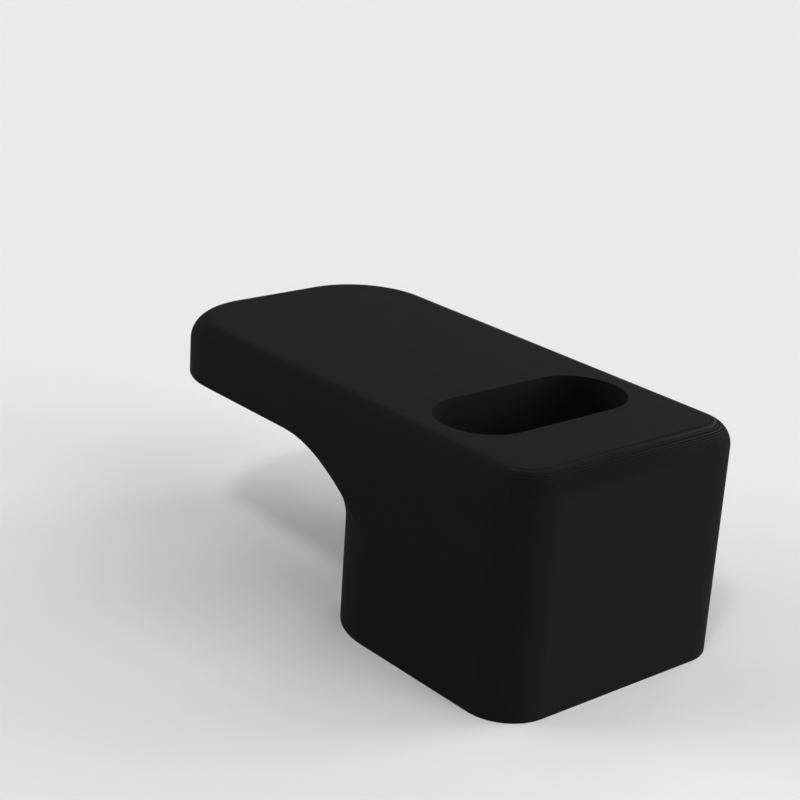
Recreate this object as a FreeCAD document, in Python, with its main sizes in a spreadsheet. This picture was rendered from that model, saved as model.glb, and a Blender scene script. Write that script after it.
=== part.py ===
"""Cable holder, printed in one piece: a block with a slot for a plug, and a plate at its top.

The block stands on its flat bottom. The plate is as wide as the block and runs out from its top
like a shelf. A large hollow round, the flare, carries the plate on the block. Sizes are in
millimetres. X runs from the plate's free end to the block's front face, Z is up, and the origin
is on the ground under the middle of the whole length.
"""
import os
from enum import IntEnum

import FreeCAD
import Part
import Sketcher
from FreeCAD import Placement, Rotation, Vector

PART_NAME = "cable_holder"

SIZES = (
    ("height", 20.0, "block, from its bottom to the top face"),
    ("width", 25.0, "block and plate, side to side"),
    ("block_length", 25.0, "block, from its front face to its inner wall"),
    ("plate_reach", 23.1, "plate's free end, measured from the block's inner wall"),
    ("plate_thickness", 5.0, "plate"),
    ("free_end_radius", 8.0, "upright corners of the plate's free end"),
    ("front_corner_radius", 4.0, "upright corners of the block's front face"),
    ("inner_corner_radius", 8.0, "upright corners of the block's inner wall"),
    ("flare_radius", 6.0, "hollow round between the inner wall and the plate"),
    ("top_round_radius", 2.0, "round all along the edge of the top face"),
    ("slot_length", 18.5, "slot for the plug, across the width"),
    ("slot_width", 8.5, "slot for the plug, along the block"),
    ("slot_setback", 12.5, "slot's middle, measured from the front face"),
)

# The plate starts as a blank that stands out past the finished outline by this many flare radii,
# and the trim that follows reaches further out than the blank.
BLANK_MARGIN = 2
TRIM_MARGIN = 3

# Edges count as lying in a plane within this distance, and volumes as equal within this share.
TOLERANCE = 1e-4


class Point(IntEnum):
    """How a sketch numbers the points of a line or an arc."""
    START = 1
    END = 2
    CENTRE = 3


class Axis(IntEnum):
    """How a sketch numbers its own X axis. The axis starts at the sketch's origin."""
    X = -1


def make_sheet(doc):
    """The driving dimensions, one to a row: the name, the number with its alias, and a note."""
    sheet = doc.addObject("Spreadsheet::Sheet", "Sizes")
    for row, (alias, value, note) in enumerate(SIZES, start=1):
        sheet.set(f"A{row}", alias)
        sheet.set(f"B{row}", str(value))
        sheet.setAlias(f"B{row}", alias)
        sheet.set(f"C{row}", note)
    doc.recompute()
    return sheet


def formula(*aliases):
    """The sum of some of the sheet's sizes, as an expression."""
    return " + ".join("Sizes." + alias for alias in aliases)


def total(sheet, *aliases):
    """The same sum as a number, for geometry that starts near its final place."""
    return sum(sheet.get(alias) for alias in aliases)


BLOCK_SPAN = ("block_length",)
PLATE_SPAN = ("block_length", "plate_reach")
FRONT_FACE = f"({formula(*PLATE_SPAN)}) / 2"


def front_face_x(sheet):
    """Where the front face stands: half of the whole length ahead of the origin."""
    return total(sheet, *PLATE_SPAN) / 2


def new_sketch(body, name, level="0 mm"):
    """A sketch on the body's ground plane, lifted to a level that the sheet gives."""
    ground = next(plane for plane in body.Origin.OriginFeatures if plane.Role == "XY_Plane")
    sketch = body.newObject("Sketcher::SketchObject", name)
    sketch.AttachmentSupport = [(ground, "")]
    sketch.MapMode = "FlatFace"
    sketch.AttachmentOffset = Placement(Vector(0, 0, 0), Rotation())
    sketch.setExpression(".AttachmentOffset.Base.z", level)
    return sketch


def constrain(sketch, *terms):
    """Adds one constraint without a name."""
    sketch.addConstraint(Sketcher.Constraint(*terms))


def drive(sketch, name, expression, *terms):
    """Adds one dimension, names it and ties it to the sheet."""
    index = sketch.addConstraint(Sketcher.Constraint(*terms))
    sketch.renameConstraint(index, name)
    sketch.setExpression(".Constraints." + name, expression)


def join_ring(sketch, ring, kind):
    """Joins each curve's end to the start of the next one, all the way round."""
    for here, following in zip(ring, ring[1:] + ring[:1]):
        constrain(sketch, kind, here, Point.END, following, Point.START)


def corner_arc(centre_x, centre_y, radius, quarter):
    """A quarter circle: quarter 0 runs from +X to +Y, and each next one a right angle further."""
    def at(quarters):
        spoke = Rotation(Vector(0, 0, 1), 90 * quarters).multVec(Vector(radius, 0, 0))
        return Vector(centre_x, centre_y) + spoke
    return Part.Arc(at(quarter), at(quarter + 0.5), at(quarter + 1))


def draw_outline(sketch, sheet, span, rear_corner, front_corner):
    """A rounded outline of the full width, from the front face back over a span.

    span holds the sizes that add up to its length, and the corners are named by their sizes.
    """
    front_x = front_face_x(sheet)
    rear_x = front_x - total(sheet, *span)
    side_y = sheet.get("width") / 2
    rear, front = sheet.get(rear_corner), sheet.get(front_corner)
    rear_centre_x, front_centre_x = rear_x + rear, front_x - front
    rear_centre_y, front_centre_y = side_y - rear, side_y - front

    ring = [sketch.addGeometry(curve) for curve in (
        Part.LineSegment(Vector(rear_centre_x, -side_y), Vector(front_centre_x, -side_y)),
        corner_arc(front_centre_x, -front_centre_y, front, 3),
        Part.LineSegment(Vector(front_x, -front_centre_y), Vector(front_x, front_centre_y)),
        corner_arc(front_centre_x, front_centre_y, front, 0),
        Part.LineSegment(Vector(front_centre_x, side_y), Vector(rear_centre_x, side_y)),
        corner_arc(rear_centre_x, rear_centre_y, rear, 1),
        Part.LineSegment(Vector(rear_x, rear_centre_y), Vector(rear_x, -rear_centre_y)),
        corner_arc(rear_centre_x, -rear_centre_y, rear, 2),
    )]
    join_ring(sketch, ring, "Tangent")

    right_side, front_right, front_side, front_left, left_side, rear_left, rear_side, rear_right = ring
    constrain(sketch, "Horizontal", right_side)
    constrain(sketch, "Horizontal", left_side)
    constrain(sketch, "Vertical", rear_side)
    constrain(sketch, "Symmetric", front_side, Point.START, front_side, Point.END, Axis.X)
    constrain(sketch, "Equal", front_right, front_left)
    constrain(sketch, "Equal", rear_right, rear_left)
    drive(sketch, "FrontFace", FRONT_FACE, "DistanceX", Axis.X, Point.START,
          front_side, Point.START, front_x)
    drive(sketch, "Length", formula(*span), "DistanceX", rear_side, Point.END,
          front_side, Point.START, front_x - rear_x)
    drive(sketch, "Width", "Sizes.width", "DistanceY", right_side, Point.END,
          left_side, Point.START, 2 * side_y)
    drive(sketch, "FrontCorner", formula(front_corner), "Radius", front_right, front)
    drive(sketch, "RearCorner", formula(rear_corner), "Radius", rear_right, rear)


def draw_surround(sketch, sheet, margin):
    """A rectangle round the finished outline, a number of flare radii away on every side."""
    allowance = margin * sheet.get("flare_radius")
    end_x = front_face_x(sheet) + allowance
    side_y = sheet.get("width") / 2 + allowance
    corners = [Vector(-end_x, -side_y), Vector(end_x, -side_y), Vector(end_x, side_y), Vector(-end_x, side_y)]
    ring = [sketch.addGeometry(Part.LineSegment(here, following))
            for here, following in zip(corners, corners[1:] + corners[:1])]
    join_ring(sketch, ring, "Coincident")

    right_side, front_side, left_side, rear_side = ring
    for line in (right_side, left_side):
        constrain(sketch, "Horizontal", line)
    for line in (front_side, rear_side):
        constrain(sketch, "Vertical", line)
    constrain(sketch, "Symmetric", right_side, Point.START, left_side, Point.START, Axis.X, Point.START)
    spare = f" + {2 * margin} * Sizes.flare_radius"
    drive(sketch, "SurroundLength", formula(*PLATE_SPAN) + spare, "DistanceX", right_side, Point.START,
          right_side, Point.END, 2 * end_x)
    drive(sketch, "SurroundWidth", "Sizes.width" + spare, "DistanceY", front_side, Point.START,
          front_side, Point.END, 2 * side_y)


def draw_slot(sketch, sheet):
    """The slot's outline: two straight long sides across the width, and full round ends."""
    middle_x = front_face_x(sheet) - sheet.get("slot_setback")
    radius = sheet.get("slot_width") / 2
    end_y = sheet.get("slot_length") / 2 - radius
    front_x, rear_x = middle_x + radius, middle_x - radius

    ring = [sketch.addGeometry(curve) for curve in (
        Part.LineSegment(Vector(front_x, -end_y), Vector(front_x, end_y)),
        Part.Arc(Vector(front_x, end_y), Vector(middle_x, end_y + radius), Vector(rear_x, end_y)),
        Part.LineSegment(Vector(rear_x, end_y), Vector(rear_x, -end_y)),
        Part.Arc(Vector(rear_x, -end_y), Vector(middle_x, -end_y - radius), Vector(front_x, -end_y)),
    )]
    join_ring(sketch, ring, "Tangent")

    front_side, left_end, _, right_end = ring
    constrain(sketch, "Symmetric", front_side, Point.START, front_side, Point.END, Axis.X)
    constrain(sketch, "Equal", left_end, right_end)
    drive(sketch, "Middle", FRONT_FACE + " - Sizes.slot_setback", "DistanceX", Axis.X, Point.START,
          left_end, Point.CENTRE, middle_x)
    drive(sketch, "EndSpacing", "Sizes.slot_length - Sizes.slot_width", "DistanceY", right_end, Point.CENTRE,
          left_end, Point.CENTRE, 2 * end_y)
    drive(sketch, "EndRadius", "Sizes.slot_width / 2", "Radius", left_end, radius)


def pad(body, sketch, name, height):
    """Raises a sketch by a height that the sheet gives."""
    feature = body.newObject("PartDesign::Pad", name)
    feature.Profile = sketch
    feature.setExpression("Length", height)
    body.Document.recompute()
    return feature


def cut_upward(body, sketch, name):
    """Cuts a sketch on the ground plane up through the whole body."""
    feature = body.newObject("PartDesign::Pocket", name)
    feature.Profile = sketch
    feature.Type = "ThroughAll"
    feature.Reversed = True
    body.Document.recompute()
    return feature


def round_edges(body, base, edges, name, radius):
    """Rounds edges of the last feature with a radius that the sheet gives."""
    feature = body.newObject("PartDesign::Fillet", name)
    feature.Base = (base, edges)
    feature.setExpression("Radius", radius)
    body.Document.recompute()
    return feature


def level_edges(shape, level, inside=None):
    """Names of the edges that lie in the plane at one height, and inside a box if one is given."""
    names = []
    for number, edge in enumerate(shape.Edges, start=1):
        box = edge.BoundBox
        in_plane = abs(box.ZMin - level) < TOLERANCE and abs(box.ZMax - level) < TOLERANCE
        if in_plane and (inside is None or inside.isInside(box)):
            names.append(f"Edge{number}")
    return names


def make_block(body, sheet):
    """The block, at its full height."""
    sketch = new_sketch(body, "BlockOutline")
    draw_outline(sketch, sheet, BLOCK_SPAN, "inner_corner_radius", "front_corner_radius")
    return pad(body, sketch, "Block", "Sizes.height")


def make_plate_blank(body, sheet):
    """The plate before it is trimmed: it stands out past the block on every side."""
    sketch = new_sketch(body, "BlankOutline", "Sizes.height - Sizes.plate_thickness")
    draw_surround(sketch, sheet, BLANK_MARGIN)
    return pad(body, sketch, "PlateBlank", "Sizes.plate_thickness")


def make_flare(body, sheet, block, blank):
    """The hollow round between the block and the blank, at first all the way round the block."""
    around_block = block.Shape.BoundBox
    around_block.enlarge(TOLERANCE)
    underside = sheet.get("height") - sheet.get("plate_thickness")
    edges = level_edges(blank.Shape, underside, around_block)
    return round_edges(body, blank, edges, "Flare", "Sizes.flare_radius")


def trim_to_outline(body, sheet):
    """Cuts away what stands outside the plate's outline.

    Of the flare, only what is under the plate stays. It follows the inner wall and both its
    round corners, and runs out to nothing where those corners meet the sides.
    """
    sketch = new_sketch(body, "PlateOutline")
    draw_surround(sketch, sheet, TRIM_MARGIN)
    draw_outline(sketch, sheet, PLATE_SPAN, "free_end_radius", "front_corner_radius")
    return cut_upward(body, sketch, "PlateTrim")


def make_top_round(body, sheet, base):
    """The round along the whole edge of the top face."""
    edges = level_edges(base.Shape, sheet.get("height"))
    return round_edges(body, base, edges, "TopRound", "Sizes.top_round_radius")


def cut_slot(body, sheet):
    """The slot, from the bottom up through the top face, with sharp rims."""
    sketch = new_sketch(body, "SlotOutline")
    draw_slot(sketch, sheet)
    return cut_upward(body, sketch, "CableSlot")


def check(doc, body, sheet, before_slot):
    """Stops the script if a feature failed, the body is not one solid, or a cut went wrong."""
    for item in doc.Objects:
        if "Invalid" in item.State or "Error" in item.State:
            raise RuntimeError(f"{item.Label}: {item.State}")
    if not body.Shape.isValid() or len(body.Shape.Solids) != 1:
        raise RuntimeError("the body is not one valid solid")

    box = body.Shape.optimalBoundingBox()
    wanted = (total(sheet, *PLATE_SPAN), sheet.get("width"), sheet.get("height"))
    for found, size in zip((box.XLength, box.YLength, box.ZLength), wanted):
        if abs(found - size) > TOLERANCE:
            raise RuntimeError(f"the body measures {found:.4f} where {size:.4f} is wanted")

    width, length = sheet.get("slot_width"), sheet.get("slot_length")
    slot_area = Part.Face(Part.Wire(Part.makeCircle(width / 2))).Area + width * (length - width)
    removed = before_slot.Shape.Volume - body.Shape.Volume
    if abs(removed / (slot_area * sheet.get("height")) - 1) > TOLERANCE:
        raise RuntimeError("the slot does not run through the whole height")


def main():
    """Builds the document, checks it and writes the solid."""
    doc = FreeCAD.newDocument("CableHolder")
    sheet = make_sheet(doc)
    body = doc.addObject("PartDesign::Body", "CableHolder")
    body.Label = PART_NAME
    block = make_block(body, sheet)
    blank = make_plate_blank(body, sheet)
    make_flare(body, sheet, block, blank)
    plate = trim_to_outline(body, sheet)
    top_round = make_top_round(body, sheet, plate)
    cut_slot(body, sheet)
    doc.recompute()
    check(doc, body, sheet, top_round)
    os.makedirs("parts", exist_ok=True)
    body.Shape.exportStep(os.path.join("parts", PART_NAME + ".step"))
    print(f"{PART_NAME}: {body.Shape.Volume:.1f} mm3, {len(body.Shape.Faces)} faces")


main()
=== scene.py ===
"""Cable holder in matte black plastic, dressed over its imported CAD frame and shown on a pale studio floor.

Lengths are in metres and points are in the part's own frame: X runs along the holder towards its front face,
Y runs across it, and Z rises from the floor that it stands on.
"""

import math
from typing import NamedTuple

import bmesh
import bpy
from bpy.props import FloatProperty, FloatVectorProperty, PointerProperty
from bpy.types import Operator, Panel, PropertyGroup
from mathutils import Matrix, Vector


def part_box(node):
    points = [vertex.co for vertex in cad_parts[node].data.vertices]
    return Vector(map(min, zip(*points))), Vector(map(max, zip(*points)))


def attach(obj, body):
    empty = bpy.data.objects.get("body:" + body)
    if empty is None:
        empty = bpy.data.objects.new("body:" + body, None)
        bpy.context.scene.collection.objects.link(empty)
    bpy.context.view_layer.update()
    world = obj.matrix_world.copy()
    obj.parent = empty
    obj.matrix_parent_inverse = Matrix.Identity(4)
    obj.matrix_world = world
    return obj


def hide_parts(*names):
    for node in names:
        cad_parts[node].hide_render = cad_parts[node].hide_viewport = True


bl_info = {
    "name": "Cable Holder",
    "version": (1, 0, 0),
    "blender": (4, 5, 0),
    "location": "View3D > Sidebar > Cable Holder",
    "description": "Builds a cable holder with its printed layers and a pale studio round it",
    "category": "Add Mesh",
}

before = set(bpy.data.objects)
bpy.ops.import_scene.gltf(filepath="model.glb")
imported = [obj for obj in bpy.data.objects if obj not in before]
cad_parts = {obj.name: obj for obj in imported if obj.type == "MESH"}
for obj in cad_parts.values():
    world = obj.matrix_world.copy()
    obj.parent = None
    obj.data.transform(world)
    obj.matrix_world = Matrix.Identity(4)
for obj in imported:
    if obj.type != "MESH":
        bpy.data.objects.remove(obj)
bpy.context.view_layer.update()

NODE = "cable_holder"
LOW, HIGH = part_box(NODE)

# Fineness of the mesh, in steps along each curve
CORNER_STEPS = 24
FREE_END_STEPS = 32
FLARE_STEPS = 24
FLARE_TURN_STEPS = 12
FLARE_TRIM_STEPS = 18
SLOT_END_STEPS = 32
GROOVE_STEPS = 3
CREST_STEPS = 4

# Points closer than this are one corner of the mesh, and the mirrored halves join within the wider reach
WELD = 1e-7
MIRROR_WELD = 1e-6

# How far the first crest's top lies under the flat top, and how far its outer side stays short of the round,
# as shares of the edge softness
CREST_SINK = 1 / 3
CREST_SETBACK = 1 / 2

# The most of a layer's tread that its raised edge may take, and the most of that edge that is rounded off
RAISED_SHARE = 1 / 2
BRINK_SHARE = 1 / 3

# Lines of the layers stay crisp where the layers show more strongly than this
CRISP_ABOVE = 0.5

# Mark of the painted highlight on the faces of the printed layers' crests, which the plastic's colour
# follows, how much it falls over the first crest, and the places across the holder where it starts and is
# full
PAINTED_HIGHLIGHT_MARK = "painted_crest_highlight"
CREST_HIGHLIGHT_FALL = 0.8
HIGHLIGHT_STARTS = -0.003
HIGHLIGHT_IS_FULL = 0.015

# The grain's width where a material doesn't set its own, its noise's detail and roughness, the detail of the
# wider patches in it, how fine they are beside the grain, and the range that their values mostly keep to
USUAL_GRAIN_SIZE = 0.0002
GRAIN_DETAIL = 2.0
GRAIN_ROUGHNESS = 0.6
PATCH_DETAIL = 3.0
PATCH_FINENESS = 0.07
PATCH_LOW = 0.3
PATCH_HIGH = 0.7

# How strongly the plastic shines, and how far its colour and its roughness vary from patch to patch
PLASTIC_SPECULAR = 0.02
PLASTIC_COLOUR_SPREAD = 0.1
PLASTIC_ROUGHNESS_SPREAD = 0.03

# Width of the floor's grain, and how far its colour varies
FLOOR_GRAIN_SIZE = 0.002
FLOOR_COLOUR_SPREAD = 0.003


class HolderSizes(PropertyGroup):
    """Lengths that give the holder its shape."""

    length: FloatProperty(
        name="Length",
        description="From the free end of the plate to the front face of the block",
        default=HIGH.x - LOW.x,
        unit="LENGTH",
    )
    width: FloatProperty(
        name="Width",
        description="Across the block and the plate",
        default=HIGH.y - LOW.y,
        unit="LENGTH",
    )
    height: FloatProperty(
        name="Height",
        description="From the floor to the flat top",
        default=HIGH.z - LOW.z,
        unit="LENGTH",
    )
    block_length: FloatProperty(
        name="Block Length",
        description="From the block's inner wall to its front face",
        default=0.025,
        unit="LENGTH",
    )
    plate_thickness: FloatProperty(
        name="Plate Thickness",
        description="From the underside of the plate to the flat top",
        default=0.005,
        unit="LENGTH",
    )
    free_end_radius: FloatProperty(
        name="Free End Radius",
        description="Corners of the plate's free end, seen from above",
        default=0.008,
        unit="LENGTH",
    )
    front_corner_radius: FloatProperty(
        name="Front Corner Radius",
        description="Upright corners at the front of the block",
        default=0.004,
        unit="LENGTH",
    )
    inner_corner_radius: FloatProperty(
        name="Inner Corner Radius",
        description="Upright corners of the block under the plate",
        default=0.008,
        unit="LENGTH",
    )
    flare_radius: FloatProperty(
        name="Flare Radius",
        description="Hollow round where the block spreads into the plate",
        default=0.006,
        unit="LENGTH",
    )
    top_round_radius: FloatProperty(
        name="Top Round Radius",
        description="Round between the sides and the flat top",
        default=0.002,
        unit="LENGTH",
    )
    slot_length: FloatProperty(
        name="Slot Length",
        description="Cable slot across the holder, over its round ends",
        default=0.0185,
        unit="LENGTH",
    )
    slot_width: FloatProperty(
        name="Slot Width",
        description="Cable slot along the holder, which is also the width of its round ends",
        default=0.0085,
        unit="LENGTH",
    )
    slot_setback: FloatProperty(
        name="Slot Setback",
        description="From the front face to the middle of the cable slot",
        default=0.0125,
        unit="LENGTH",
    )


class LayerSizes(PropertyGroup):
    """The printed layers that step round the front of the top."""

    pitch: FloatProperty(
        name="Layer Height",
        description="Height of one printed layer",
        default=0.00014,
        min=0.00005,
        unit="LENGTH",
    )
    softness: FloatProperty(
        name="Edge Softness",
        description="How far the outer edge of each layer is rounded off",
        default=0.00003,
        min=0.0,
        unit="LENGTH",
    )
    groove_width: FloatProperty(
        name="Groove Width",
        description="Width of the hairline groove between the flat top and the first layer's crest",
        default=0.00044,
        unit="LENGTH",
    )
    groove_depth: FloatProperty(
        name="Groove Depth",
        description="Depth of the hairline groove below the flat top",
        default=0.00005,
        unit="LENGTH",
    )
    lean: FloatProperty(
        name="Lean",
        description="How much each layer's side follows the round: upright at 0, the smooth round at 1",
        default=0.15,
        min=0.0,
        max=0.9,
        subtype="FACTOR",
    )
    seam_depth: FloatProperty(
        name="Seam Depth",
        description="Depth of the seam behind the raised edge of each layer",
        default=0.000025,
        min=0.0,
        unit="LENGTH",
    )
    edge_width: FloatProperty(
        name="Edge Width",
        description="Width of the raised edge of each layer, where its tread is wide enough",
        default=0.0001,
        min=0.00001,
        unit="LENGTH",
    )
    fade: FloatProperty(
        name="Fade",
        description="Last part of each front corner's turn, over which the layers melt into the smooth side",
        default=math.radians(46.0),
        subtype="ANGLE",
    )


class PlasticFinish(PropertyGroup):
    """The look of the matte black plastic."""

    colour: FloatVectorProperty(
        name="Colour",
        description="Colour of the plastic",
        default=(0.009, 0.009, 0.009),
        min=0.0,
        max=1.0,
        subtype="COLOR",
    )
    roughness: FloatProperty(
        name="Roughness",
        description="How matte the plastic is",
        default=0.8,
        min=0.0,
        max=1.0,
        subtype="FACTOR",
    )
    # The crests' paler colour is a painted highlight on the layers' edges
    crest_highlight_gain: FloatProperty(
        name="Crest Highlight",
        description="How many times paler the layers' crests with their painted highlight are than the plastic",
        default=4.0,
        min=1.0,
    )
    grain_size: FloatProperty(
        name="Grain Size",
        description="Width of one grain of the matte surface",
        default=0.00018,
        min=0.00001,
        unit="LENGTH",
    )
    grain_depth: FloatProperty(
        name="Grain Depth",
        description="Height of the grain",
        default=0.000004,
        min=0.0,
        unit="LENGTH",
    )


class StudioSettings(PropertyGroup):
    """The floor and the light round the holder."""

    floor_colour: FloatVectorProperty(
        name="Floor Colour",
        description="Colour of the floor and of the background above it",
        default=(0.83, 0.83, 0.83),
        min=0.0,
        max=1.0,
        subtype="COLOR",
    )
    floor_reach: FloatProperty(
        name="Floor Reach",
        description="From the holder to each edge of the floor",
        default=6.0,
        unit="LENGTH",
    )
    lamp_level: FloatProperty(
        name="Lamp Level",
        description="Strength of all the lamps together, where 1 shows the floor at its own colour",
        default=1.0,
        min=0.0,
    )
    lamp_spread: FloatProperty(
        name="Lamp Spread",
        description="Angle across each soft lamp, as the holder sees it",
        default=math.radians(26.0),
        subtype="ANGLE",
    )
    key_spread: FloatProperty(
        name="Key Spread",
        description="Angle across the key lamp, which decides how crisp the plate's shadow is",
        default=math.radians(8.0),
        subtype="ANGLE",
    )


# Mesh work


class Skin:
    """A mesh in the making, whose faces share a corner wherever their points meet."""

    def __init__(self):
        self.mesh = bmesh.new()
        self.corners = {}
        # Face layer that holds the painted highlight on the layers' crests
        self.highlight_layer = self.mesh.faces.layers.float.new(PAINTED_HIGHLIGHT_MARK)

    def corner(self, point):
        """The mesh corner at a point, made the first time that it is asked for."""
        key = tuple(round(value / WELD) for value in point)
        if key not in self.corners:
            self.corners[key] = self.mesh.verts.new(point)
        return self.corners[key]

    def face(self, points, wear=0.0):
        """One face through the points, without those that repeat, and how much painted highlight it carries.
        """
        corners = list(dict.fromkeys(self.corner(point) for point in points))
        if len(corners) > 2:
            self.mesh.faces.new(corners)[self.highlight_layer] = wear

    def grid(self, columns, row_highlight=None, column_highlight=None):
        """Faces between neighbouring columns of equally many points, with as much painted highlight as their
        row and column say.
        """
        row_highlight = row_highlight or [0.0] * len(columns[0])
        column_highlight = column_highlight or [1.0] * len(columns)
        for left, right, share in zip(columns, columns[1:], column_highlight):
            for low in range(len(left) - 1):
                corners = (left[low], right[low], right[low + 1], left[low + 1])
                self.face(corners, row_highlight[low] * share)

    def crease(self, points):
        """Keeps the edges along a line of points crisp."""
        corners = list(dict.fromkeys(self.corner(point) for point in points))
        for first, second in zip(corners, corners[1:]):
            edge = self.mesh.edges.get((first, second))
            if edge:
                edge.smooth = False

    def finish(self, name):
        """The object made of all the faces, smooth except at its creases."""
        bmesh.ops.recalc_face_normals(self.mesh, faces=self.mesh.faces)
        for face in self.mesh.faces:
            face.smooth = True
        data = bpy.data.meshes.new(name)
        self.mesh.to_mesh(data)
        self.mesh.free()
        piece = bpy.data.objects.new(name, data)
        bpy.context.scene.collection.objects.link(piece)
        return piece


def shares(steps):
    """The shares from 0 to 1 in so many equal steps."""
    return [step / steps for step in range(steps + 1)]


def eased(share):
    """A share that leaves 0 and reaches 1 gently."""
    return share * share * (3.0 - 2.0 * share)


def at_height(point, height):
    """A point of the plan, lifted to a height."""
    return Vector((point[0], point[1], height))


def on_floor(points):
    """Points of the plan, on the floor."""
    return [at_height(point, 0.0) for point in points]


def outward(degrees):
    """The level direction at an angle from +X towards +Y."""
    angle = math.radians(degrees)
    return Vector((math.cos(angle), math.sin(angle), 0.0))


class Profile:
    """A cut through the top round, from the top down: how far out and how high each of its points lies."""

    def __init__(self):
        self.points = []
        self.wear = []
        self.crisp = []

    def add(self, reach, rise, wear=0.0, crisp=False):
        """The next point, how much painted highlight the face below it carries, and whether the line along
        it stays crisp.
        """
        if crisp:
            self.crisp.append(len(self.points))
        self.points.append((reach, rise))
        self.wear.append(wear)


class Station(NamedTuple):
    """A place along the outline: the top round's inner edge there, the way out, and how layered it is."""

    inner: Vector
    out: Vector
    layered: float


class Plan:
    """Half of the holder's outline and of what lies inside it, from the middle line to the +Y side."""

    def __init__(self, sizes, layers):
        self.sizes = sizes
        self.layers = layers
        self.front = sizes.length / 2
        self.side = sizes.width / 2
        self.wall = self.front - sizes.block_length
        self.top = sizes.height
        self.shoulder = sizes.height - sizes.top_round_radius
        self.underside = sizes.height - sizes.plate_thickness
        self.flare_foot = self.underside - sizes.flare_radius
        self.turn_x = self.wall + sizes.inner_corner_radius
        self.turn_y = self.side - sizes.inner_corner_radius

    def flare_turns(self):
        """Angles of the flare's columns round the inner corner, from the wall to the side, in degrees."""
        sizes = self.sizes
        radius = sizes.inner_corner_radius
        trim = math.degrees(math.asin(radius / (radius + sizes.flare_radius)))
        turning = [trim * share for share in shares(FLARE_TURN_STEPS)]
        trimmed = [trim + (90.0 - trim) * share for share in shares(FLARE_TRIM_STEPS)]
        return turning, trimmed

    def flare_column(self, start, out, spread):
        """Points up the flare from a point of the wall, as far as the flare spreads there."""
        radius = self.sizes.flare_radius
        climb = math.acos(max(-1.0, 1.0 - spread / radius))
        column = []
        for share in shares(FLARE_STEPS):
            angle = climb * share
            point = start + out * (radius * (1.0 - math.cos(angle)))
            column.append(at_height(point, self.flare_foot + radius * math.sin(angle)))
        return column

    def flare_columns(self):
        """The flare's columns, from the middle of the inner wall round to the side."""
        radius = self.sizes.inner_corner_radius
        full = self.sizes.flare_radius
        back = Vector((-1.0, 0.0, 0.0))
        whole = [self.flare_column(Vector((self.wall, 0.0, 0.0)), back, full)]
        centre = Vector((self.turn_x, self.turn_y, 0.0))
        turning, trimmed = self.flare_turns()
        for degrees in turning:
            out = outward(180.0 - degrees)
            whole.append(self.flare_column(centre + out * radius, out, full))
        cut = []
        for degrees in trimmed:
            out = outward(180.0 - degrees)
            spread = radius / math.sin(math.radians(degrees)) - radius
            cut.append(self.flare_column(centre + out * radius, out, min(spread, full)))
        for column in cut:
            column[-1].y = self.side
        cut[-1] = [at_height((self.turn_x, self.side), self.flare_foot)] * (FLARE_STEPS + 1)
        return whole, cut

    def layered_share(self, turn):
        """How strongly the layers show at an angle round a front corner, in degrees from the front."""
        return eased(min(1.0, math.radians(90.0 - turn) / self.layers.fade))

    def stations(self, side_stops):
        """Stations from the middle of the front, along the side, to the middle of the free end."""
        sizes = self.sizes
        inset = sizes.top_round_radius
        found = [Station(Vector((self.front - inset, 0.0, 0.0)), Vector((1.0, 0.0, 0.0)), 1.0)]
        corner = sizes.front_corner_radius
        front_turn = Vector((self.front - corner, self.side - corner, 0.0))
        for share in shares(CORNER_STEPS):
            out = outward(90.0 * share)
            rim = front_turn + out * (corner - inset)
            found.append(Station(rim, out, self.layered_share(90.0 * share)))
        out = Vector((0.0, 1.0, 0.0))
        for x in side_stops:
            found.append(Station(Vector((x, self.side - inset, 0.0)), out, 0.0))
        end_turn = Vector((sizes.free_end_radius - self.front, self.side - sizes.free_end_radius, 0.0))
        for share in shares(FREE_END_STEPS):
            out = outward(90.0 + 90.0 * share)
            found.append(Station(end_turn + out * (sizes.free_end_radius - inset), out, 0.0))
        found.append(Station(Vector((inset - self.front, 0.0, 0.0)), Vector((-1.0, 0.0, 0.0)), 0.0))
        return found

    def round_reach(self, rise):
        """How far out the smooth top round is at a height above its centre."""
        return math.sqrt(self.sizes.top_round_radius ** 2 - rise ** 2)

    def layered_profile(self):
        """The stepped profile of the top round: its groove, its first crest and the layers below them."""
        radius = self.sizes.top_round_radius
        pitch = self.layers.pitch
        soft = self.layers.softness
        edge = self.round_reach(radius - pitch)
        profile = Profile()
        self.add_groove(profile, radius, soft)
        self.add_first_crest(profile, radius, pitch, soft, edge)
        for layer in range(1, int(radius / pitch)):
            top = radius - layer * pitch
            edge = self.add_layer(profile, top, pitch, soft, edge)
        profile.points[-1] = (edge, top - pitch)
        profile.add(radius, 0.0)
        return profile

    def add_groove(self, profile, radius, soft):
        """The hairline groove, from the edge of the flat top outwards."""
        width, bed = self.layers.groove_width, radius - self.layers.groove_depth
        profile.add(0.0, radius, crisp=True)
        for share in shares(GROOVE_STEPS):
            profile.add(soft + (width - soft) * share, bed, crisp=share == 1.0)

    def add_first_crest(self, profile, radius, pitch, soft, edge):
        """The crest beside the groove, which leans down to the seam at its edge."""
        start, end = self.layers.groove_width + soft, edge - soft * CREST_SETBACK
        ridge, brow = radius - soft * CREST_SINK, radius - pitch + soft
        for share in shares(CREST_STEPS):
            reach, rise = start + (end - start) * share, ridge + (brow - ridge) * share
            # The first crest carries a painted highlight, full at its inner edge and falling outwards
            profile.add(reach, rise, wear=1.0 - share * CREST_HIGHLIGHT_FALL, crisp=share == 0.0)
        profile.add(edge, radius - pitch - self.layers.seam_depth, crisp=True)

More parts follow.
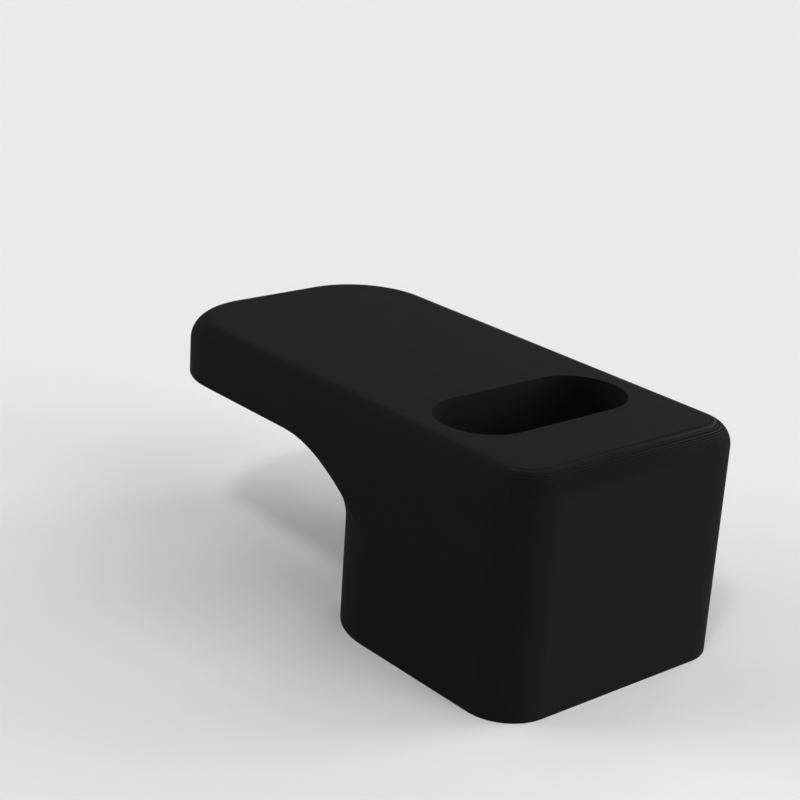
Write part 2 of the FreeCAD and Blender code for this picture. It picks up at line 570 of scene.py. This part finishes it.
    def add_layer(self, profile, top, pitch, soft, edge):
        """One layer outside an edge: its seam, raised edge and leaning side. Gives the side's foot."""
        layers = self.layers
        upright = self.round_reach(top - pitch / 2)
        lip = upright + (self.round_reach(top) - upright) * layers.lean
        foot = upright + (self.round_reach(top - pitch) - upright) * layers.lean
        raised = min(layers.edge_width, (lip - edge) * RAISED_SHARE)
        brink = min(soft, raised * BRINK_SHARE)
        profile.add(lip - raised, top - layers.seam_depth)
        # The top of each raised edge carries a full painted highlight
        profile.add(lip - raised + brink, top, wear=1.0)
        profile.add(lip - brink, top, wear=1.0)
        profile.add(lip, top - brink)
        profile.add(foot, top - pitch - layers.seam_depth, crisp=True)
        return foot

    def round_column(self, station, profile):
        """Points down the top round at a station, stepped or smooth as the station says."""
        radius = self.sizes.top_round_radius
        column = []
        angle = math.pi / 2
        for reach, rise in profile.points:
            angle = min(angle, math.atan2(rise, reach))
            smooth = Vector((radius * math.cos(angle), radius * math.sin(angle)))
            across, up = smooth.lerp(Vector((reach, rise)), station.layered)
            column.append(at_height(station.inner + station.out * across, self.shoulder + up))
        return column

    def slot_rim(self):
        """Half of the cable slot's rim, from its back to its front."""
        sizes = self.sizes
        centre_x = self.front - sizes.slot_setback
        radius = sizes.slot_width / 2
        centre = Vector((centre_x, sizes.slot_length / 2 - radius, 0.0))
        rim = [Vector((centre_x - radius, 0.0, 0.0))]
        rim += [centre + outward(180.0 - 180.0 * share) * radius for share in shares(SLOT_END_STEPS)]
        rim.append(Vector((centre_x + radius, 0.0, 0.0)))
        return rim


def side_feet(plan, columns, trim_line):
    """Where the side under each column ends: on the floor, the flare's trimmed edge or the underside."""
    trim_heights = {round(point.x / WELD): point.z for point in trim_line}
    feet = []
    for column in columns:
        point = column[-1]
        height = 0.0 if point.x > plan.turn_x + WELD else plan.underside
        height = trim_heights.get(round(point.x / WELD), height)
        feet.append(at_height(point, height))
    return feet


def add_sides(skin, columns, feet, corner_foot):
    """The upright sides, from the foot of the top round down."""
    uprights = [(column[-1], foot) for column, foot in zip(columns, feet)]
    for (left, left_foot), (right, right_foot) in zip(uprights, uprights[1:]):
        wall = [left, left_foot, right_foot, right]
        if left_foot.z == 0.0 and right_foot.z > 0.0:
            wall.insert(2, corner_foot)
        skin.face(wall)


def build_holder(sizes, layers):
    """Half of the holder's skin, on its +Y side."""
    plan = Plan(sizes, layers)
    skin = Skin()

    # Top round and sides, from the front to the free end
    whole, cut = plan.flare_columns()
    trim_line = [column[-1] for column in reversed(cut)]
    stations = plan.stations([point.x for point in trim_line])
    profile = plan.layered_profile()
    columns = [plan.round_column(station, profile) for station in stations]
    # The painted highlight on the crests is as strong as the layers at each station
    skin.grid(columns, profile.wear, [station.layered for station in stations])
    feet = side_feet(plan, columns, trim_line)
    corner_foot = at_height((plan.turn_x, plan.side), 0.0)
    add_sides(skin, columns, feet, corner_foot)

    # Flare, and the block's inner wall below it
    skin.grid(whole)
    skin.grid(cut)
    wall_top = [column[0] for column in whole + cut[1:]]
    wall_foot = on_floor(wall_top)
    skin.grid(list(zip(wall_foot, wall_top)))

    # Cable slot
    rim = plan.slot_rim()
    slot_top = [at_height(point, plan.top) for point in rim]
    slot_bottom = on_floor(rim)
    skin.grid(list(zip(slot_bottom, slot_top)))

    # Flat top, underside of the plate, and bottom of the block
    skin.face([column[0] for column in columns] + slot_top)
    plate_feet = [foot for foot in feet if foot.z > plan.underside - WELD]
    skin.face([column[-1] for column in whole] + plate_feet)
    block_bottom = [foot for foot in feet if foot.z == 0.0] + [corner_foot] + wall_foot[::-1]
    skin.face(block_bottom + slot_bottom)

    # Sharp rims, and the crisp lines of the layers
    raised_feet = [foot for foot in feet if foot.z > 0.0]
    for line in (slot_top, slot_bottom, block_bottom, raised_feet):
        skin.crease(line)
    stepped = [column for column, station in zip(columns, stations) if station.layered > CRISP_ABOVE]
    for row in profile.crisp:
        skin.crease([column[row] for column in stepped])
    return skin.finish("holder_body")


def mirror_and_weigh(piece):
    """Closes the half skin with its mirror image, and shades it by the size of its faces."""
    mirror = piece.modifiers.new("other_half", "MIRROR")
    mirror.use_axis = (False, True, False)
    mirror.use_clip = True
    mirror.merge_threshold = MIRROR_WELD
    weigh = piece.modifiers.new("face_weights", "WEIGHTED_NORMAL")
    weigh.keep_sharp = True


# Materials


def math_node(tree, operation, first, second):
    """A math node whose two inputs are links or plain numbers."""
    node = tree.nodes.new("ShaderNodeMath")
    node.operation = operation
    for socket, value in zip(node.inputs, (first, second)):
        if isinstance(value, (int, float)):
            socket.default_value = value
        else:
            tree.links.new(value, socket)
    return node.outputs["Value"]


def noise_node(tree, place, scale, detail):
    """Noise at a place and a scale, both given by links."""
    noise = tree.nodes.new("ShaderNodeTexNoise")
    noise.inputs["Detail"].default_value = detail
    tree.links.new(place, noise.inputs["Vector"])
    tree.links.new(scale, noise.inputs["Scale"])
    return noise


def fine_grain_group():
    """Fine matte grain: its height, and a mask of wider patches that are a little paler and duller."""
    group = bpy.data.node_groups.new("fine_grain", "ShaderNodeTree")
    group.interface.new_socket(name="Vector", in_out="INPUT", socket_type="NodeSocketVector")
    size = group.interface.new_socket(name="Grain Size", in_out="INPUT", socket_type="NodeSocketFloat")
    size.default_value = USUAL_GRAIN_SIZE
    group.interface.new_socket(name="Height", in_out="OUTPUT", socket_type="NodeSocketFloat")
    group.interface.new_socket(name="Mask", in_out="OUTPUT", socket_type="NodeSocketFloat")
    given = group.nodes.new("NodeGroupInput")
    result = group.nodes.new("NodeGroupOutput")

    scale = math_node(group, "DIVIDE", 1.0, given.outputs["Grain Size"])
    grain = noise_node(group, given.outputs["Vector"], scale, GRAIN_DETAIL)
    grain.inputs["Roughness"].default_value = GRAIN_ROUGHNESS
    group.links.new(grain.outputs["Fac"], result.inputs["Height"])
    wide = math_node(group, "MULTIPLY", scale, PATCH_FINENESS)
    patches = noise_node(group, given.outputs["Vector"], wide, PATCH_DETAIL)
    group.links.new(patches.outputs["Fac"], result.inputs["Mask"])
    return group


def grain_node(tree, group, size):
    """The grain placed in a material, running through the object's own space."""
    place = tree.nodes.new("ShaderNodeTexCoord")
    grain = tree.nodes.new("ShaderNodeGroup")
    grain.node_tree = group
    grain.inputs["Grain Size"].default_value = size
    tree.links.new(place.outputs["Object"], grain.inputs["Vector"])
    return grain


def patchy_value(tree, mask, middle, spread):
    """A value that varies by a spread to both sides of its middle, with the patches of the grain."""
    ramp = tree.nodes.new("ShaderNodeMapRange")
    ramp.inputs["From Min"].default_value = PATCH_LOW
    ramp.inputs["From Max"].default_value = PATCH_HIGH
    ramp.inputs["To Min"].default_value = middle - spread
    ramp.inputs["To Max"].default_value = middle + spread
    tree.links.new(mask, ramp.inputs["Value"])
    return ramp.outputs["Result"]


def times(colour, factor):
    """A colour made darker or paler, with its alpha."""
    return (*[part * factor for part in colour], 1.0)


def patchy_colour(tree, mask, colour, spread):
    """A colour that varies by a spread to both sides of itself, with the patches of the grain."""
    mix = tree.nodes.new("ShaderNodeMix")
    mix.data_type = "RGBA"
    mix.inputs["A"].default_value = times(colour, 1.0 - spread)
    mix.inputs["B"].default_value = times(colour, 1.0 + spread)
    tree.links.new(mask, mix.inputs["Factor"])
    return mix.outputs["Result"]


def new_material(name, roughness, specular_level):
    """A plain material and its shader."""
    material = bpy.data.materials.new(name)
    material.use_nodes = True
    shader = material.node_tree.nodes["Principled BSDF"]
    shader.inputs["Roughness"].default_value = roughness
    shader.inputs["Specular IOR Level"].default_value = specular_level
    return material, shader


def add_bump(tree, shader, height, depth):
    """Raises a height on the surface by a depth."""
    bump = tree.nodes.new("ShaderNodeBump")
    bump.inputs["Strength"].default_value = 1.0
    bump.inputs["Distance"].default_value = depth
    tree.links.new(height, bump.inputs["Height"])
    tree.links.new(bump.outputs["Normal"], shader.inputs["Normal"])


def crest_highlight_mask(tree):
    """The painted highlight on the crests, which grows from nothing to full across the holder."""
    mark = tree.nodes.new("ShaderNodeAttribute")
    mark.attribute_name = PAINTED_HIGHLIGHT_MARK
    place = tree.nodes.new("ShaderNodeTexCoord")
    parts = tree.nodes.new("ShaderNodeSeparateXYZ")
    tree.links.new(place.outputs["Object"], parts.inputs["Vector"])
    across = tree.nodes.new("ShaderNodeMapRange")
    across.interpolation_type = "SMOOTHSTEP"
    across.inputs["From Min"].default_value = HIGHLIGHT_STARTS
    across.inputs["From Max"].default_value = HIGHLIGHT_IS_FULL
    tree.links.new(parts.outputs["Y"], across.inputs["Value"])
    return math_node(tree, "MULTIPLY", mark.outputs["Fac"], across.outputs["Result"])


def tinted(tree, colour, mask, target):
    """A colour that turns into another by a mask."""
    mix = tree.nodes.new("ShaderNodeMix")
    mix.data_type = "RGBA"
    tree.links.new(colour, mix.inputs["A"])
    mix.inputs["B"].default_value = target
    tree.links.new(mask, mix.inputs["Factor"])
    return mix.outputs["Result"]


def black_plastic(finish, grain_group):
    """Matte black plastic with a fine grain, and a painted highlight that makes the crests of its layers
    paler.
    """
    material, shader = new_material("black_plastic", finish.roughness, PLASTIC_SPECULAR)
    tree = material.node_tree
    grain = grain_node(tree, grain_group, finish.grain_size)
    mask = grain.outputs["Mask"]
    colour = patchy_colour(tree, mask, finish.colour, PLASTIC_COLOUR_SPREAD)
    # Painted highlight: the crests turn paler where the mark says
    colour = tinted(tree, colour, crest_highlight_mask(tree), times(finish.colour, finish.crest_highlight_gain))
    tree.links.new(colour, shader.inputs["Base Color"])
    roughness = patchy_value(tree, mask, finish.roughness, PLASTIC_ROUGHNESS_SPREAD)
    tree.links.new(roughness, shader.inputs["Roughness"])
    add_bump(tree, shader, grain.outputs["Height"], finish.grain_depth)
    return material


def pale_floor(studio, grain_group):
    """The pale studio floor, with the faintest paper grain and no shine."""
    material, shader = new_material("pale_floor", 1.0, 0.0)
    tree = material.node_tree
    grain = grain_node(tree, grain_group, FLOOR_GRAIN_SIZE)
    colour = patchy_colour(tree, grain.outputs["Mask"], studio.floor_colour, FLOOR_COLOUR_SPREAD)
    tree.links.new(colour, shader.inputs["Base Color"])
    return material


# Studio


class Lamp(NamedTuple):
    """A soft lamp far away: its place round the holder and above the floor, in degrees, and its strength."""

    name: str
    round_from_x: float
    above_floor: float
    strength: float


LAMPS = (
    Lamp("front_low", 30.0, 8.0, 1.05),
    Lamp("right_low", 60.0, 8.0, 1.35),
    Lamp("back_low", 120.0, 8.0, 0.55),
    Lamp("left_low", 240.0, 8.0, 0.5),
    Lamp("front", 15.0, 25.0, 0.5),
    Lamp("right", 75.0, 25.0, 0.4),
    Lamp("back", 105.0, 25.0, 0.4),
    Lamp("left", 225.0, 25.0, 0.7),
    Lamp("front_raised", 0.0, 45.0, 0.4),
    Lamp("corner_raised", 35.0, 45.0, 0.15),
    Lamp("right_raised", 70.0, 45.0, 0.3),
    Lamp("left_raised", 215.0, 45.0, 0.15),
    Lamp("right_high", 75.0, 65.0, 0.2),
    Lamp("end_high", 180.0, 65.0, 0.25),
    Lamp("key_glow", 285.0, 65.0, 0.25),
)
KEY_LAMP = Lamp("key", 298.0, 58.0, 0.5)

# The camera's place round the point that it looks at, its lens in millimetres, and the nearest that it sees
CAMERA_AIM = Vector((0.000454, -0.004306, 0.017556))
CAMERA_DISTANCE = 0.155634
CAMERA_TURN = math.radians(48.979)
CAMERA_RISE = math.radians(20.055)
CAMERA_ROLL = math.radians(3.772)
CAMERA_LENS = 84.2
CAMERA_NEAR = 0.001


def add_object(name, data):
    """A new object in the scene."""
    made = bpy.data.objects.new(name, data)
    bpy.context.scene.collection.objects.link(made)
    return made


def add_floor(studio, material):
    """A wide level floor."""
    mesh = bmesh.new()
    bmesh.ops.create_grid(mesh, x_segments=1, y_segments=1, size=studio.floor_reach)
    data = bpy.data.meshes.new("floor")
    mesh.to_mesh(data)
    mesh.free()
    data.materials.append(material)
    floor = add_object("floor", data)


def add_lamp(lamp, spread, level):
    """One lamp, as wide as the spread says."""
    light = bpy.data.lights.new(lamp.name, "SUN")
    light.angle = spread
    light.energy = lamp.strength * level
    turn, rise = math.radians(lamp.round_from_x), math.radians(lamp.above_floor)
    towards = Vector((math.cos(turn) * math.cos(rise), math.sin(turn) * math.cos(rise), math.sin(rise)))
    add_object(lamp.name, light).rotation_euler = towards.to_track_quat("Z", "Y").to_euler()


def add_lamps(studio):
    """The wide soft lamps round the holder, and the smaller one that gives the plate its crisp shadow."""
    for lamp in LAMPS:
        add_lamp(lamp, studio.lamp_spread, studio.lamp_level)
    add_lamp(KEY_LAMP, studio.key_spread, studio.lamp_level)


def add_backdrop(studio):
    """A world with the floor's colour, which only shows and mirrors and gives no light of its own."""
    world = bpy.data.worlds.new("pale_backdrop")
    bpy.context.scene.world = world
    world.use_nodes = True
    tree = world.node_tree
    background = tree.nodes["Background"]
    background.inputs["Color"].default_value = (*studio.floor_colour, 1.0)
    path = tree.nodes.new("ShaderNodeLightPath")
    shown = math_node(tree, "MAXIMUM", path.outputs["Is Camera Ray"], path.outputs["Is Glossy Ray"])
    shown = math_node(tree, "MAXIMUM", shown, path.outputs["Is Transmission Ray"])
    tree.links.new(shown, background.inputs["Strength"])


def add_camera():
    """The camera at the photograph's viewing angle."""
    rise, turn, roll = CAMERA_RISE, CAMERA_TURN, CAMERA_ROLL
    back = Vector((math.sin(turn) * math.cos(rise), -math.cos(turn) * math.cos(rise), math.sin(rise)))
    level = Vector((math.cos(turn), math.sin(turn), 0.0))
    upright = back.cross(level)
    right = level * math.cos(roll) + upright * math.sin(roll)
    up = upright * math.cos(roll) - level * math.sin(roll)
    place = Matrix((right, up, back)).transposed().to_4x4()
    place.translation = CAMERA_AIM + back * CAMERA_DISTANCE
    data = bpy.data.cameras.new("camera")
    data.lens = CAMERA_LENS
    data.clip_start = CAMERA_NEAR
    camera = add_object("camera", data)
    camera.matrix_world = place
    bpy.context.scene.camera = camera


# Operators, panel and registration


def shared_grain():
    """The grain's node group, built the first time that it is needed."""
    return bpy.data.node_groups.get("fine_grain") or fine_grain_group()


class CABLE_HOLDER_OT_build_body(Operator):
    """Build the holder's body in black plastic, in place of the CAD solid"""

    bl_idname = "cable_holder.build_body"
    bl_label = "Build Holder Body"

    def execute(self, context):
        scene = context.scene
        piece = build_holder(scene.cable_holder_sizes, scene.cable_holder_layers)
        mirror_and_weigh(piece)
        piece.data.materials.append(black_plastic(scene.cable_holder_finish, shared_grain()))
        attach(piece, "root")
        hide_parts(NODE)
        return {"FINISHED"}


class CABLE_HOLDER_OT_build_stage(Operator):
    """Build the floor, the soft lamps, the backdrop and the camera"""

    bl_idname = "cable_holder.build_stage"
    bl_label = "Build Studio"

    def execute(self, context):
        studio = context.scene.cable_holder_studio
        add_floor(studio, pale_floor(studio, shared_grain()))
        add_lamps(studio)
        add_backdrop(studio)
        add_camera()
        context.scene.view_settings.view_transform = "Standard"
        return {"FINISHED"}


class CABLE_HOLDER_PT_panel(Panel):
    """The holder's sizes, finish and studio, and the buttons that build them"""

    bl_idname = "CABLE_HOLDER_PT_panel"
    bl_label = "Cable Holder"
    bl_space_type = "VIEW_3D"
    bl_region_type = "UI"
    bl_category = "Cable Holder"

    def draw(self, context):
        for title, attribute, group, button in SECTIONS:
            box = self.layout.box()
            box.label(text=title)
            settings = getattr(context.scene, attribute)
            for name in group.__annotations__:
                box.prop(settings, name)
            if button:
                box.operator(button)


SECTIONS = (
    ("Sizes", "cable_holder_sizes", HolderSizes, None),
    ("Printed Layers", "cable_holder_layers", LayerSizes, None),
    ("Plastic", "cable_holder_finish", PlasticFinish, CABLE_HOLDER_OT_build_body.bl_idname),
    ("Studio", "cable_holder_studio", StudioSettings, CABLE_HOLDER_OT_build_stage.bl_idname),
)

CLASSES = (
    HolderSizes,
    LayerSizes,
    PlasticFinish,
    StudioSettings,
    CABLE_HOLDER_OT_build_body,
    CABLE_HOLDER_OT_build_stage,
    CABLE_HOLDER_PT_panel,
)


def register():
    """Adds the settings, the operators and the panel to Blender."""
    for made in CLASSES:
        bpy.utils.register_class(made)
    for _, attribute, group, _ in SECTIONS:
        setattr(bpy.types.Scene, attribute, PointerProperty(type=group))


def unregister():
    """Takes the settings, the operators and the panel out again."""
    for _, attribute, _, _ in SECTIONS:
        delattr(bpy.types.Scene, attribute)
    for made in reversed(CLASSES):
        bpy.utils.unregister_class(made)


def main():
    register()
    bpy.ops.cable_holder.build_body()
    bpy.ops.cable_holder.build_stage()


if __name__ == "__main__":
    main()
